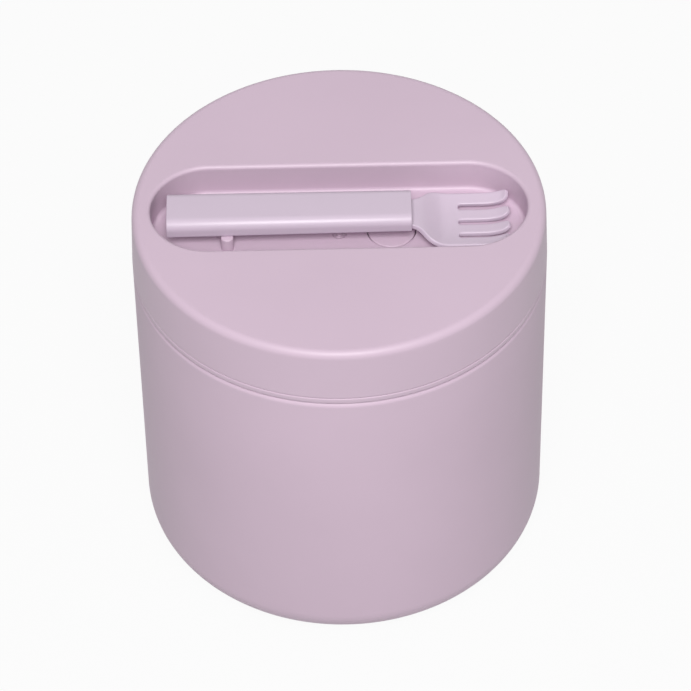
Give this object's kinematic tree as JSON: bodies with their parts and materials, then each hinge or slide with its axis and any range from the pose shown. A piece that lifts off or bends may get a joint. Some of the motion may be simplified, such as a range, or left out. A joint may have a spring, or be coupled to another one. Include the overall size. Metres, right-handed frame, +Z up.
{
  "type": "insulated food jar",
  "caption": "Round vacuum insulated food jar with a twist-off lid, a vent button and a folding fork stowed in a tray in the lid",
  "frame": {"origin": "centre of the base, on the surface that the jar stands on", "axes": "+Z up along the jar, X along the tray in the lid with the fork's tines towards +X, front towards -Y"},
  "size_m": [0.118, 0.118, 0.12],
  "materials": {
    "painted_shell": "matte powder coat",
    "base_steel": "brushed",
    "solder_bead": "dull solder",
    "getter_pill": "sintered powder",
    "pad_silicone": "matte silicone",
    "vessel_steel": "spun and electropolished",
    "copper_foil": "bright copper foil",
    "neck_plastic": "satin moulded",
    "seal_silicone": "translucent white silicone",
    "band_plastic": "satin moulded",
    "lid_plastic": "satin moulded",
    "plug_plastic": "satin moulded",
    "foam": "closed cell foam",
    "vent_plastic": "satin moulded",
    "spring_steel": "drawn wire",
    "fork_plastic": "semi gloss moulded",
    "pin_steel": "turned"
  },
  "bodies": {
    "jar": {"outer_shell": "painted_shell", "base_plate": "base_steel", "seal_bead": "solder_bead", "getter": "getter_pill", "base_pad": "pad_silicone", "inner_vessel": "vessel_steel", "inner_bottom": "vessel_steel", "copper_foil": "copper_foil", "neck_collar": "neck_plastic"},
    "seal": {"lid_gasket": "seal_silicone"},
    "lid": {"lid_collar": "band_plastic", "lid_cover": "lid_plastic", "lid_plug": "plug_plastic", "plug_cap": "plug_plastic", "plug_foam": "foam", "vent_spring": "spring_steel"},
    "vent": {"vent_button": "vent_plastic", "vent_seal": "seal_silicone"},
    "fork": {"fork_head": "fork_plastic"},
    "handle": {"fork_handle": "fork_plastic", "fork_pin": "pin_steel"}
  },
  "joints": [
    {"name": "lid_lift", "type": "slide", "parent": "jar", "child": "seal", "axis": [0, 0, 1], "range_m": [0, 0.08]},
    {"name": "lid_turn", "type": "hinge", "parent": "seal", "child": "lid", "pos_m": [0, 0, 0.1064], "axis": [0, 0, 1], "range_deg": [0, 60]},
    {"name": "vent_press", "type": "slide", "parent": "lid", "child": "vent", "axis": [0, 0, -1], "range_m": [0, 0.0012], "stiffness_N_per_m": 800, "springref_m": -0.0005, "deforming": ["vent_spring"]},
    {"name": "fork_lift", "type": "slide", "parent": "lid", "child": "fork", "axis": [0, 0, 1], "range_m": [0, 0.06]},
    {"name": "fork_unfold", "type": "hinge", "parent": "fork", "child": "handle", "pos_m": [-0.0465, 0.001, 0.1162], "axis": [0, -1, 0], "range_deg": [0, 180]}
  ],
  "couplings": [
    {"joint": "fork_unfold", "follows": "fork_lift", "rad_per_m": 52.36}
  ]
}
